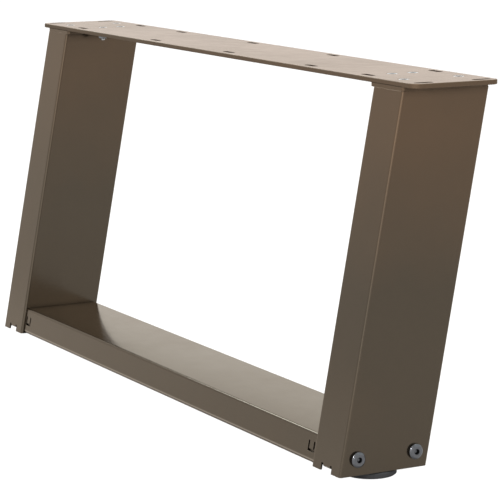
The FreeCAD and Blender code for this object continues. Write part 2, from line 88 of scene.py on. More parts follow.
class Wiring:
    """Adds and joins nodes in one node tree."""

    MIX_COLOURS = (6, 7)
    MIX_RESULT = 2

    def __init__(self, tree: NodeTree) -> None:
        """Keep the tree that the nodes go into."""
        self.tree = tree

    def add(self, kind: str, *values: object, **settings: object) -> Node:
        """Add a node.

        Args:
            kind: Blender's name of the node type.
            values: values or links of its first input sockets, in order.
            settings: its properties, or values or links of input sockets, by name.

        Returns:
            The new node.
        """
        node = self.tree.nodes.new(kind)
        for key, value in (*settings.items(), *enumerate(values)):
            if isinstance(key, str) and hasattr(node, key):
                setattr(node, key, value)
            elif isinstance(value, NodeSocket):
                self.join(value, node.inputs[key])
            else:
                node.inputs[key].default_value = value
        return node

    def join(self, source: NodeSocket, target: NodeSocket) -> None:
        """Link an output socket to an input socket."""
        self.tree.links.new(source, target)

    def maths(self, operation: str, first: NodeSocket,
              second: NodeSocket | float = 0.0) -> NodeSocket:
        """Return the socket with what a Math node's operation makes of one or two values."""
        return self.add("ShaderNodeMath", first, second, operation=operation).outputs[0]

    def remap(self, value: NodeSocket, low: float, high: float,
              to_low: float = 0.0, to_high: float = 1.0) -> NodeSocket:
        """Return the socket with a value moved from one range to another, its ends held."""
        node = self.add("ShaderNodeMapRange", value, low, high, to_low, to_high, clamp=True)
        return node.outputs[0]

    def blend(self, factor: NodeSocket, first: NodeSocket | Colour,
              second: NodeSocket | Colour) -> NodeSocket:
        """Mix two colours.

        Args:
            factor: socket that holds the share of the second colour.
            first: colour, or the socket that has it.
            second: colour, or the socket that has it.

        Returns:
            The socket with the mixed colour.
        """
        node = self.add("ShaderNodeMix", data_type="RGBA", Factor=factor)
        for number, colour in zip(self.MIX_COLOURS, (first, second)):
            if isinstance(colour, tuple):
                node.inputs[number].default_value = (*colour, 1.0)
            else:
                self.join(colour, node.inputs[number])
        return node.outputs[self.MIX_RESULT]

    def split(self, vector: NodeSocket) -> tuple[NodeSocket, ...]:
        """Return the sockets with a vector's X, Y and Z."""
        return tuple(self.add("ShaderNodeSeparateXYZ", vector).outputs)

    def mix(self, share: NodeSocket, first: NodeSocket, second: NodeSocket) -> NodeSocket:
        """Return the socket that mixes two shaders, by the share of the second."""
        return self.add("ShaderNodeMixShader", share, first, second).outputs[0]

    def mirrored(self, path: Node) -> NodeSocket:
        """Return the socket that is one for rays which a surface mirrored or let through."""
        return self.maths("MAXIMUM", path.outputs["Is Glossy Ray"],
                          path.outputs["Is Transmission Ray"])


class SharedEffects:
    """Shader node groups that several finishes use, each built once."""

    def __init__(self) -> None:
        """Build every group."""
        self.groups = {"skin": self._skin(), "clouds": self._clouds(),
                       "edge_rub": self._edge_rub(), "turning": self._turning()}

    @staticmethod
    def _start(name: str, inputs: dict[str, float],
               outputs: tuple[str, ...]) -> tuple[Wiring, Node, Node]:
        """Start a group with its sockets.

        Args:
            name: the group's name.
            inputs: names and usual values of its number inputs; a Vector input comes first.
            outputs: names of its value outputs.

        Returns:
            The group's wiring, its input node and its output node.
        """
        tree = bpy.data.node_groups.new(name, "ShaderNodeTree")
        tree.interface.new_socket("Vector", in_out="INPUT", socket_type="NodeSocketVector")
        for label, value in inputs.items():
            socket = tree.interface.new_socket(label, in_out="INPUT", socket_type="NodeSocketFloat")
            socket.default_value = value
        for label in outputs:
            tree.interface.new_socket(label, in_out="OUTPUT", socket_type="NodeSocketFloat")
        wiring = Wiring(tree)
        return wiring, wiring.add("NodeGroupInput"), wiring.add("NodeGroupOutput")

    def _skin(self) -> NodeTree:
        """Fine orange-peel skin of a sprayed or moulded surface, with small flecks.

        Returns:
            The group.
        """
        wiring, source, result = self._start("skin", {"Grain": 900.0, "Fleck": 2600.0},
                                             ("Height", "Flecks"))
        place = source.outputs["Vector"]
        peel = wiring.add("ShaderNodeTexNoise", Vector=place, Scale=source.outputs["Grain"],
                          Detail=3.0, Roughness=0.55)
        wiring.join(peel.outputs["Fac"], result.inputs["Height"])
        fleck = wiring.add("ShaderNodeTexVoronoi", feature="F1", Vector=place,
                           Scale=source.outputs["Fleck"])
        grey = wiring.add("ShaderNodeSeparateColor", Color=fleck.outputs["Color"])
        wiring.join(grey.outputs[0], result.inputs["Flecks"])
        return wiring.tree

    def _clouds(self) -> NodeTree:
        """Slow patches and faint long streaks, as wiping and handling leave.

        Returns:
            The group.
        """
        wiring, source, result = self._start("clouds", {"Scale": 9.0}, ("Patches", "Streaks"))
        place = source.outputs["Vector"]
        patch = wiring.add("ShaderNodeTexNoise", Vector=place, Scale=source.outputs["Scale"],
                           Detail=4.0, Roughness=0.6)
        patches = wiring.remap(patch.outputs["Fac"], 0.3, 0.7)
        wiring.join(patches, result.inputs["Patches"])
        stretch = wiring.add("ShaderNodeMapping", Vector=place, Scale=(30.0, 30.0, 2.2))
        streak = wiring.add("ShaderNodeTexNoise", Vector=stretch.outputs["Vector"], Scale=1.6,
                            Detail=3.0, Roughness=0.5)
        streaks = wiring.remap(streak.outputs["Fac"], 0.35, 0.75)
        wiring.join(streaks, result.inputs["Streaks"])
        return wiring.tree

    def _edge_rub(self) -> NodeTree:
        """Broken line along convex edges, where a coat is worn thin, which also paints highlights
        along edges.

        Returns:
            The group.
        """
        wiring, source, result = self._start("edge_rub", {"Radius": 0.0012, "Breaks": 60.0},
                                             ("Mask",))
        rounded = wiring.add("ShaderNodeBevel", samples=6, Radius=source.outputs["Radius"])
        flat = wiring.add("ShaderNodeNewGeometry")
        turn = wiring.add("ShaderNodeVectorMath", rounded.outputs[0], flat.outputs["Normal"],
                          operation="DOT_PRODUCT")
        line = wiring.remap(turn.outputs["Value"], 0.995, 0.86)
        breaks = wiring.add("ShaderNodeTexNoise", Vector=source.outputs["Vector"],
                            Scale=source.outputs["Breaks"], Detail=3.0)
        share = wiring.remap(breaks.outputs["Fac"], 0.35, 0.65, 0.35, 1.0)
        wiring.join(wiring.maths("MULTIPLY", line, share), result.inputs["Mask"])
        return wiring.tree

    def _turning(self) -> NodeTree:
        """Fine rings that a lathe leaves, read from each piece's own distance to its axis.

        Returns:
            The group.
        """
        wiring, source, result = self._start("turning", {"Rings": 9.0}, ("Height",))
        spread = wiring.add("ShaderNodeAttribute", attribute_name="turned")
        rings = wiring.maths("MULTIPLY", spread.outputs["Fac"], source.outputs["Rings"])
        wave = wiring.add("ShaderNodeTexNoise", noise_dimensions="1D", W=rings, Scale=1.0,
                          Detail=2.0)
        wiring.join(wave.outputs["Fac"], result.inputs["Height"])
        return wiring.tree


class FinishWiring(Wiring):
    """The wiring of one finish, with its shader, coordinates and shared groups."""

    def __init__(self, material: Material, effects: SharedEffects) -> None:
        """Keep what the finish's nodes read.

        Args:
            material: the finish's material.
            effects: the shared node groups.
        """
        super().__init__(material.node_tree)
        self.groups = effects.groups
        self.shader = self.tree.nodes["Principled BSDF"]
        self.place = self.add("ShaderNodeTexCoord").outputs["Object"]

    def effect(self, name: str, **values: float) -> Node:
        """Place a shared group, with the finish's values for it."""
        return self.add("ShaderNodeGroup", node_tree=self.groups[name], Vector=self.place, **values)

    def give(self, name: str, source: NodeSocket) -> None:
        """Join a result to one of the shader's inputs."""
        self.join(source, self.shader.inputs[name])

    def bump(self, height: NodeSocket, depth: float, strength: float,
             edge: NodeSocket | float) -> None:
        """Raise fine relief over softly rounded edges.

        Args:
            height: the socket with the relief.
            depth: the relief's depth in metres.
            strength: the relief's strength.
            edge: radius by which sharp edges look rounded, in metres.
        """
        rounded = self.add("ShaderNodeBevel", samples=6, Radius=edge)
        relief = self.add("ShaderNodeBump", Strength=strength, Distance=depth, Height=height,
                          Normal=rounded.outputs[0])
        self.give("Normal", relief.outputs[0])


@dataclass(frozen=True)
class Finish:
    """A finish of the leg: its record slot and its shader's plain values."""

    slot: Slot
    colour: Colour
    metallic: float
    roughness: float
    coat: float = 0.0
    coat_roughness: float = 0.2
    edge_tint: Colour = WHITE

    def material(self, effects: SharedEffects) -> Material:
        """Build the material.

        Args:
            effects: the shared node groups.

        Returns:
            The finished material.
        """
        material = bpy.data.materials.new(self.slot.value + "_finish")
        material.use_nodes = True
        wiring = FinishWiring(material, effects)
        plain = {"Base Color": (*self.colour, 1.0), "Metallic": self.metallic,
                 "Roughness": self.roughness, "Coat Weight": self.coat,
                 "Coat Roughness": self.coat_roughness, "Specular Tint": (*self.edge_tint, 1.0)}
        for name, value in plain.items():
            wiring.shader.inputs[name].default_value = value
        self.wire(wiring)
        return material

    def wire(self, wiring: FinishWiring) -> None:
        """Add this finish's own nodes."""
        raise NotImplementedError

    def toned(self, share: float) -> Colour:
        """Return the finish's colour, darker or lighter by a share."""
        return tuple(min(1.0, share * part) for part in self.colour)

    def roughen(self, wiring: FinishWiring, pattern: NodeSocket, less: float, more: float) -> None:
        """Let the roughness vary with a pattern from 0 to 1, by the two steps given."""
        rough = wiring.maths("ADD", wiring.remap(pattern, 0.0, 1.0, less, more), self.roughness)
        wiring.give("Roughness", rough)


@dataclass(frozen=True)
class CoatParts:
    """What the coat's steps read: wiring, effects, coordinates and rail mask."""

    wiring: FinishWiring
    skin: Node
    clouds: Node
    edges: Node
    x: NodeSocket
    y: NodeSocket
    z: NodeSocket
    on_rail: NodeSocket


@dataclass(frozen=True)
class BronzeCoat(Finish):
    """Satin bronze-brown powder coat with a fine metallic fleck. Places in metres."""

    # Painted light: the coat turns warmer and paler up the posts and to the right, as light and
    # reflections fall there.
    warm: Colour = (0.124, 0.081, 0.0505)
    warm_rise: Span = (-0.21, -0.06)
    warm_run: Span = (-0.40, 0.30)
    # Pale edge colour, partly coat worn thin on edges, partly a painted highlight on folds and a
    # painted highlight line on the rail's lower fold.
    rubbed: Colour = (0.32, 0.28, 0.235)
    rail_end: float = 0.3715
    rail_over: float = -0.35
    rail_depth: Span = (-0.0152, -0.1132)
    crown: float = -270.0
    wave: float = 26.0
    # Height of the painted highlight line on the rail's lower fold, and how it fades.
    hem: float = -0.3904
    hem_fade: Span = (0.0005, 0.0009)
    # Reach of the painted shade in nooks, and the heights where it thins out at the rail's corners.
    nook: float = 0.012
    open_corners: Span = (-0.36, -0.34)
    plate_foot: Span = (-0.0051, -0.0050)
    plate_face: Span = (-0.00015, -0.00005)
    sheared: float = 0.6
    below_plate: Span = (-0.0065, -0.0055)

    def wire(self, wiring: FinishWiring) -> None:
        """Add tone with painted light, flecks, edges paled by wear and painted highlight, painted
        shade in nooks, and skin.

        Args:
            wiring: the finish's wiring.
        """
        x, y, z = wiring.split(wiring.place)
        parts = CoatParts(
            wiring, wiring.effect("skin", Grain=850.0, Fleck=2400.0),
            wiring.effect("clouds", Scale=7.0),
            wiring.effect("edge_rub", Radius=0.0011, Breaks=70.0),
            x, y, z, self._on_rail(wiring, x, z))
        # Painted shade: colour and edge reflection darken in the nooks that the AO node finds, less
        # so low down at the rail's corners.
        nook = wiring.add("ShaderNodeAmbientOcclusion", samples=4, Distance=self.nook)
        lower = wiring.remap(z, *self.open_corners, 0.25, 0.0)
        depth = wiring.remap(wiring.maths("ADD", nook.outputs["AO"], lower), 0.45, 0.90, 0.94, 0.0)
        for name, colour in (("Base Color", self._tone(parts)), ("Specular Tint", self.edge_tint)):
            wiring.give(name, wiring.blend(depth, colour, self.toned(0.08)))
        patches = wiring.remap(parts.clouds.outputs["Patches"], 0.0, 1.0, -0.03, 0.04)
        streaks = wiring.remap(parts.clouds.outputs["Streaks"], 0.0, 1.0, -0.01, 0.03)
        gloss = wiring.maths("ADD", wiring.maths("ADD", patches, self.roughness), streaks)
        cut = wiring.maths("MULTIPLY", wiring.remap(z, *self.plate_foot, 0.0, self.sheared),
                           wiring.remap(z, *self.plate_face, 1.0, 0.0))
        wiring.give("Roughness", wiring.maths("MAXIMUM", gloss, cut))
        edge = wiring.remap(z, *self.below_plate, 0.0004, 0.0001)
        wiring.bump(self._relief(parts), depth=0.000012, strength=1.0, edge=edge)

    def _on_rail(self, wiring: Wiring, x: NodeSocket, z: NodeSocket) -> NodeSocket:
        """Return the socket that is one on the rail and nought elsewhere."""
        between = wiring.maths("LESS_THAN", wiring.maths("ABSOLUTE", x), self.rail_end)
        return wiring.maths("MULTIPLY", between, wiring.maths("LESS_THAN", z, self.rail_over))

    def _tone(self, parts: CoatParts) -> NodeSocket:
        """Mix the colour: painted light that is warmer and paler to the top right, flecks, edges
        paled by wear and painted highlight, and a painted highlight line on the rail's lower fold.

        Args:
            parts: what the steps read.

        Returns:
            The socket with the colour.
        """
        maths, remap, blend = parts.wiring.maths, parts.wiring.remap, parts.wiring.blend
        flecks, patches = parts.skin.outputs["Flecks"], parts.clouds.outputs["Patches"]
        # Painted light: a warmer, paler tone up high and to the right.
        painted_warmth = maths("MULTIPLY", remap(parts.z, *self.warm_rise, 0.0, 0.85),
                       remap(parts.x, *self.warm_run, 0.58, 1.0))
        share = maths("ADD", painted_warmth, remap(patches, 0.0, 1.0, -0.12, 0.12))
        tone = blend(share, self.colour, self.warm)
        fleck = blend(remap(flecks, 0.0, 1.0, 0.0, 0.16), tone, self.toned(0.8))
        spark = blend(remap(flecks, 0.93, 1.0, 0.0, 0.45), fleck, self.toned(1.9))
        # Painted highlight: a pale line on the rail's lower fold, with edges paled partly by wear
        # and partly as painted highlight.
        hem = maths("ABSOLUTE", maths("SUBTRACT", parts.z, self.hem))
        painted_hem_highlight = maths("MULTIPLY", remap(hem, *self.hem_fade, 0.55, 0.0), parts.on_rail)
        rub_and_highlight = maths("MAXIMUM", maths("MULTIPLY", parts.edges.outputs["Mask"], 0.08), painted_hem_highlight)
        return blend(rub_and_highlight, spark, self.rubbed)

    def _relief(self, parts: CoatParts) -> NodeSocket:
        """Raise the skin on slightly bowed sheet, the rail's top falling to its front fold.

        Args:
            parts: what the steps read.

        Returns:
            The socket with the relief.
        """
        maths = parts.wiring.maths
        bow = parts.wiring.add("ShaderNodeTexNoise", Vector=parts.wiring.place, Scale=4.5,
                               Detail=0.0)
        waves = maths("MULTIPLY", bow.outputs["Fac"], self.wave)
        bowed = maths("ADD", parts.skin.outputs["Height"], waves)
        forward = parts.wiring.remap(parts.y, *self.rail_depth)
        fall = maths("MULTIPLY", maths("POWER", forward, 3.0), self.crown)
        return maths("ADD", bowed, maths("MULTIPLY", fall, parts.on_rail))


@dataclass(frozen=True)
class TurnedSteel(Finish):
    """Steel of a turned fastener, plated bright or blackened."""

    shade: Colour = (0.4, 0.4, 0.4)
    # Dark colour painted into sockets and threads as painted shade.
    grime: Colour = (0.015, 0.015, 0.017)
    rings: float = 9.0

    def wire(self, wiring: FinishWiring) -> None:
        """Add plating patches, edges paled by wear and painted highlight, painted shade in sockets
        and threads, and turning rings.

        Args:
            wiring: the finish's wiring.
        """
        clouds = wiring.effect("clouds", Scale=160.0)
        edges = wiring.effect("edge_rub", Radius=0.0004, Breaks=400.0)
        turning = wiring.effect("turning", Rings=self.rings)
        patches = clouds.outputs["Patches"]
        tone = wiring.blend(wiring.maths("MULTIPLY", patches, 0.5), self.colour, self.shade)
        # Edges go paler, partly wear, partly painted highlight.
        rubbed = wiring.maths("MULTIPLY", edges.outputs["Mask"], 0.5)
        worn = wiring.blend(rubbed, tone, self.toned(1.5))
        # Painted shade: sockets and threads darken by how deep the mesh marks them as sunk.
        hollow = wiring.add("ShaderNodeAttribute", attribute_name="sunk")
        painted_shade_share = wiring.remap(hollow.outputs["Fac"], 0.0, 0.6, 0.0, 0.92)
        wiring.give("Base Color", wiring.blend(painted_shade_share, worn, self.grime))
        self.roughen(wiring, patches, -0.04, 0.06)
        wiring.bump(turning.outputs["Height"], depth=0.00006, strength=0.25, edge=0.0003)


@dataclass(frozen=True)
class DullZinc(Finish):
    """Dull zinc plating with soft crystal patches and faint rolling lines."""

    shade: Colour = (0.145, 0.151, 0.158)

    def wire(self, wiring: FinishWiring) -> None:
        """Add crystal patches, streaks and skin.

        Args:
            wiring: the finish's wiring.
        """
        skin = wiring.effect("skin", Grain=1500.0, Fleck=420.0)
        clouds = wiring.effect("clouds", Scale=45.0)
        crystals = wiring.remap(skin.outputs["Flecks"], 0.0, 1.0, 0.0, 0.7)
        patched = wiring.blend(crystals, self.colour, self.shade)
        rolled = wiring.maths("MULTIPLY", clouds.outputs["Streaks"], 0.4)
        wiring.give("Base Color", wiring.blend(rolled, patched, self.toned(1.15)))
        self.roughen(wiring, clouds.outputs["Patches"], -0.05, 0.08)
        wiring.bump(skin.outputs["Height"], depth=0.00008, strength=0.15, edge=0.0004)


@dataclass(frozen=True)
class MouldedPlastic(Finish):
    """Matt charcoal plastic with a spark-eroded mould texture."""

    dusty: Colour = (0.055, 0.055, 0.058)

    def wire(self, wiring: FinishWiring) -> None:
        """Add grain, dust and scuffed edges.

        Args:
            wiring: the finish's wiring.
        """
        skin = wiring.effect("skin", Grain=1900.0, Fleck=1500.0)
        clouds = wiring.effect("clouds", Scale=60.0)
        edges = wiring.effect("edge_rub", Radius=0.0008, Breaks=180.0)
        patches = wiring.maths("MULTIPLY", clouds.outputs["Patches"], 0.25)
        dust = wiring.blend(patches, self.colour, self.dusty)
        scuffs = wiring.maths("MULTIPLY", edges.outputs["Mask"], 0.5)
        wiring.give("Base Color", wiring.blend(scuffs, dust, self.dusty))
        self.roughen(wiring, skin.outputs["Flecks"], -0.05, 0.07)
        wiring.bump(skin.outputs["Height"], depth=0.00015, strength=0.35, edge=0.0005)


class Wardrobe:
    """All finishes of the leg as materials, by record slot."""

    FINISHES: tuple[Finish, ...] = (
        BronzeCoat(Slot.BRONZE, (0.074, 0.059, 0.0425), 0.93, 0.17, coat=0.06,
                   coat_roughness=0.10, edge_tint=(1.0, 0.90, 0.805)),
        TurnedSteel(Slot.BRIGHT, (0.95, 0.95, 0.94), 1.0, 0.22, shade=(0.82, 0.82, 0.83),
                    rings=14.0),
        TurnedSteel(Slot.DARK, (0.125, 0.128, 0.136), 1.0, 0.18, shade=(0.088, 0.092, 0.10),
                    rings=9.0),
        DullZinc(Slot.ZINC, (0.20, 0.206, 0.212), 1.0, 0.38),
        MouldedPlastic(Slot.CHARCOAL, (0.022, 0.022, 0.024), 0.0, 0.55),
    )

    def __init__(self) -> None:
        """Build the shared effects and one material for each finish."""
        effects = SharedEffects()
        self.materials = {finish.slot: finish.material(effects) for finish in self.FINISHES}

    def dress_node(self, name: str, slot: Slot) -> None:
        """Give a CAD node its finish.

        Args:
            name: the node's name.
            slot: the finish that it gets.
        """
        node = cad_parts[name]
        for place in node.material_slots:
            place.material = self.materials[slot]
        log.info("%s keeps its CAD shape, in %s", name, slot.value)

    def dress_piece(self, piece: Object, slot: Slot) -> None:
        """Give a new piece its finish."""
        piece.data.materials.append(self.materials[slot])


def circle(radius: float) -> Outline:
    """Return a circle's outline."""
    return lambda angle: radius


def hexagon(across: float) -> Outline:
    """Return the outline of a hexagon with a corner at angle 0, by its width across the flats."""
    return lambda angle: across / 2 / math.cos(angle % (math.pi / 3) - math.pi / 6)


class Turnery:
    """A mesh under construction on its own Z axis, for bolts, screws, nuts and stems."""

    SEGMENTS = 48
    SHARP = math.radians(32)
    ON_RING = 1e-5
    WELD = 1e-6
    THREAD_WELD = 2e-6
    CUT = 1e-7
    THREAD_DEPTH = 0.6
    # Share of painted shade on threads.
    THREAD_GRIME = 0.3

    def __init__(self) -> None:
        """Start an empty mesh, with a note on each point that is older than the shape in hand."""
        self.mesh = bmesh.new()
        self.older = self.mesh.verts.layers.int.new("older")
        self.turned = self.mesh.verts.layers.float.new("turned")
        self.sunk = self.mesh.verts.layers.float.new("sunk")

    def _mark(self) -> None:
        """Note every point so far as older."""
        for vert in self.mesh.verts:
            vert[self.older] = 1

    def _fresh(self) -> list:
        """Return the points that are newer than the last note."""
        return [vert for vert in self.mesh.verts if not vert[self.older]]

    def loop(self, radius: float, height: float) -> list:
        """Draw a level circle.

        Args:
            radius: the circle's radius.
            height: its place along the axis.

        Returns:
            Its edges.
        """
        made = bmesh.ops.create_circle(self.mesh, cap_ends=False, radius=radius,
                                       segments=self.SEGMENTS)
        bmesh.ops.translate(self.mesh, verts=made["verts"], vec=(0, 0, height))
        return list({edge for vert in made["verts"] for edge in vert.link_edges})

    def close(self, loop: list) -> None:
        """Close a loop of edges with one face."""
        bmesh.ops.edgeloop_fill(self.mesh, edges=loop)

    def flip(self) -> None:
        """Turn the mesh end for end."""
        turn = Matrix.Rotation(math.pi, 3, "X")
        bmesh.ops.rotate(self.mesh, verts=self.mesh.verts, matrix=turn)

    def dome(self, rim: float, rim_height: float, flat: float, top: float, steps: int) -> list:
        """Turn a round crown from a rim up to a smaller flat.

        Args:
            rim: radius at the rim.
            rim_height: height of the rim.
            flat: radius of the flat on top.
            top: height of the flat.
            steps: number of bands in the crown.

        Returns:
            The edges round the flat.
        """
        centre = (flat ** 2 - rim ** 2 + top ** 2 - rim_height ** 2) / (2 * (top - rim_height))
        sweep = math.atan2(top - centre, flat) - math.atan2(rim_height - centre, rim)
        self._mark()
        start = self.mesh.verts.new((rim, 0, rim_height))
        bmesh.ops.spin(self.mesh, geom=[start], axis=(0, 1, 0), cent=(0, 0, centre),
                       angle=-sweep, steps=steps)
        arc = self._fresh()
        lines = list({edge for vert in arc for edge in vert.link_edges})
        bmesh.ops.spin(self.mesh, geom=arc + lines, axis=(0, 0, 1), cent=(0, 0, 0), angle=math.tau,
                       steps=self.SEGMENTS, use_merge=True)
        return self.ring(flat, top)

    def ring(self, radius: float, height: float) -> list:
        """Find a level circle in the mesh.

        Args:
            radius: the circle's radius.
            height: its place along the axis.

        Returns:
            Its edges.
        """
        def on_it(vert: bmesh.types.BMVert) -> bool:
            """Whether a point lies on the circle."""
            away = abs(vert.co.xy.length - radius)
            return away < self.ON_RING and abs(vert.co.z - height) < self.ON_RING
        return [edge for edge in self.mesh.edges if all(on_it(vert) for vert in edge.verts)]

    def carry(self, loop: list, height: float, outline: Outline, sunk: float = 0.0) -> list:
        """Carry a loop of edges on to a new outline.

        Args:
            loop: the edges to start from.
            height: the new outline's place along the axis.
            outline: gives the new outline's distance from the axis at an angle.
            sunk: how deep in a hollow the new outline counts as, from 0 to 1, which sets its
                painted shade.

        Returns:
            The new outline's edges.
        """
        made = bmesh.ops.extrude_edge_only(self.mesh, edges=loop)["geom"]
        for vert in (item for item in made if isinstance(item, bmesh.types.BMVert)):
            angle = math.atan2(vert.co.y, vert.co.x)
            vert.co = (outline(angle) * math.cos(angle), outline(angle) * math.sin(angle), height)
            vert[self.sunk] = sunk
        return [item for item in made if isinstance(item, bmesh.types.BMEdge)]

    def socket(self, rim: list, height: float, across: float, depth: float, lead: float) -> None:
        """Close a round rim with a flat and a hexagonal key socket.

        Args:
            rim: edges of the rim.
            height: height of the flat.
            across: the key's width across its flats.
            depth: depth of the socket.
            lead: radius of the cone at the socket's mouth.
        """
        # The sunk values set how much painted shade each ring of the socket takes.
        flat = self.carry(rim, height, circle(lead + 0.1 * MM))
        mouth = self.carry(flat, height - 0.05 * MM, circle(lead), sunk=0.45)
        walls = self.carry(mouth, height - 0.4 * MM, hexagon(across), sunk=0.7)
        floor = self.carry(walls, height - depth, hexagon(0.98 * across), sunk=1.0)
        middle = self.carry(floor, height - depth, circle(0.25 * across), sunk=0.2)
        self.close(middle)

    def thread(self, radius: float, pitch: float, bottom: float, top: float, steps: int) -> None:
        """Cut a closed length of helical thread, with its upper end coned.

        Args:
            radius: outer radius.
            pitch: rise in one turn.
            bottom: lower end along the axis.
            top: upper end along the axis.
            steps: number of faces in one turn.
        """
        root = radius - self.THREAD_DEPTH * pitch
        self._mark()
        heights = ((root, 0.0), (root, 0.25), (radius, 0.56), (radius, 0.69), (root, 1.0))
        start = bottom - 1.5 * pitch
        tooth = [self.mesh.verts.new((reach, 0, start + share * pitch)) for reach, share in heights]
        lines = [self.mesh.edges.new(pair) for pair in zip(tooth, tooth[1:])]
        turns = math.ceil((top - bottom) / pitch) + 2
        bmesh.ops.spin(self.mesh, geom=tooth + lines, axis=(0, 0, 1), cent=(0, 0, 0),
                       dvec=(0, 0, pitch / steps), angle=math.tau * turns, steps=steps * turns)
        bmesh.ops.remove_doubles(self.mesh, verts=self._fresh(), dist=self.THREAD_WELD)
        for height, way in ((top, 1.0), (bottom, -1.0)):
            verts = self._fresh()
            edges = list({edge for vert in verts for edge in vert.link_edges})
            faces = list({face for vert in verts for face in vert.link_faces})
            cut = bmesh.ops.bisect_plane(self.mesh, geom=verts + edges + faces, dist=self.CUT,
                                         plane_co=(0, 0, height), plane_no=(0, 0, way),
                                         clear_outer=True)
            self.close([item for item in cut["geom_cut"] if isinstance(item, bmesh.types.BMEdge)])
        # Threads take a share of painted shade.
        for vert in self._fresh():
            vert[self.sunk] = self.THREAD_GRIME
            allowed = root + (top - vert.co.z)
            if vert.co.xy.length > allowed:
                vert.co.xy *= allowed / vert.co.xy.length

    def finish(self, name: str, place: Matrix) -> Object:
        """Close the mesh, note each point's distance to the axis, and put the piece in its place.

        Args:
            name: the new object's name.
            place: where the axis goes.

        Returns:
            The new object.
        """
        bmesh.ops.remove_doubles(self.mesh, verts=self.mesh.verts, dist=self.WELD)
        bmesh.ops.recalc_face_normals(self.mesh, faces=self.mesh.faces)
        for vert in self.mesh.verts:
            vert[self.turned] = vert.co.xy.length / MM
        self.mesh.verts.layers.int.remove(self.older)
        bmesh.ops.transform(self.mesh, matrix=place, verts=self.mesh.verts)
        data = bpy.data.meshes.new(name)
        self.mesh.to_mesh(data)
        self.mesh.free()
        data.shade_smooth()
        data.set_sharp_from_angle(angle=self.SHARP)
        piece = bpy.data.objects.new(name, data)
        bpy.context.collection.objects.link(piece)
        return piece


def along(node: str, axis: int) -> tuple[Vector, Vector]:
    """Find the ends of a CAD node's axis.

    Args:
        node: the node's name.
        axis: number of the axis that the piece is turned about.

    Returns:
        The points where that axis leaves the node's box, low and high.
    """
    low, high = (Vector(corner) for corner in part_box(node))
    start = (low + high) / 2
    end = start.copy()
    start[axis], end[axis] = low[axis], high[axis]
    return start, end


@dataclass
class CoatedFrame:
    """The coated sheet parts: plate, flanges, posts and rail."""

    wardrobe: Wardrobe

    def dress(self) -> None:
        """Give every coated part its finish."""
        sides = [f"{side.word}_{part}" for side in Side for part in ("post", "post_flange")]
        for name in ("top_plate", "rail", *sides):
            self.wardrobe.dress_node(name, Slot.BRONZE)


@dataclass
class TurnedPart:
    """A piece that is modelled on its own axis and takes a CAD node's place."""

    wardrobe: Wardrobe

    def model(self, length: float) -> Turnery:
        """Return the piece's mesh, modelled to a length along its axis."""
        raise NotImplementedError

    def settle(self, node: str, name: str, length: float, place: Matrix, body: str,
               slot: Slot) -> None:
        """Model the piece and put it in the place of a CAD node.

        Args:
            node: the CAD node that it stands for.
            name: the new object's name.
            length: its length along the axis.
            place: where its origin and axis go.
            body: the body that it moves with.
            slot: its finish.
        """
        piece = self.model(length).finish(name, place)
        self.wardrobe.dress_piece(piece, slot)
        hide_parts(node)
        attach(piece, body)
        log.info("%s stands for %s, in %s", piece.name, node, slot.value)


@dataclass
class HexNut(TurnedPart):
    """A chamfered hexagon nut. Sizes in metres."""

    across: float
    bore: float
    lead: float = 0.35 * MM
    crown: float = 0.475
    slope: float = math.tan(math.radians(30))

    def model(self, length: float) -> Turnery:
        """Model the nut from its foot up.

        Args:
            length: its height.

        Returns:
            The mesh.
        """
        nut = Turnery()
        flat, mouth = circle(self.crown * self.across), circle(self.bore + self.lead)
        foot = nut.carry(nut.carry(nut.loop(self.bore, self.lead), 0, mouth), 0, flat)
        lower = nut.carry(foot, 0, hexagon(self.across))
        upper = nut.carry(lower, length, hexagon(self.across))
        head = nut.carry(nut.carry(upper, length, flat), length, mouth)
        hole = nut.carry(head, length - self.lead, circle(self.bore))
        nut.carry(hole, self.lead, circle(self.bore))
        for edges, way in ((upper, -1), (lower, 1)):
            for vert in {vert for edge in edges for vert in edge.verts}:
                vert.co.z += way * self.slope * (vert.co.xy.length - flat(0))
        return nut

    def fit(self, node: str, axis: int, way: int) -> None:
        """Replace a CAD nut.

        Args:
            node: the nut's node.
            axis: number of the axis that it turns about.
            way: 1 if its foot is at the low end of that axis, -1 if at the high end.
        """
        start, end = along(node, axis)
        foot = start if way > 0 else end
        direction = Vector((0, 0, 0))
        direction[axis] = way
        turn = Vector((0, 0, 1)).rotation_difference(direction).to_matrix().to_4x4()
        low, high = (Vector(corner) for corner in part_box(node))
        spans = [(high - low)[number] for number in range(3) if number != axis]
        if axis == 2 and spans[1] > spans[0] or axis == 0 and spans[1] < spans[0]:
            turn = turn @ Matrix.Rotation(math.radians(30), 4, "Z")
        name, place = node.replace("nut", "hex_nut"), Matrix.Translation(foot) @ turn
        self.settle(node, name, (end - start).length, place, "leg", Slot.ZINC)


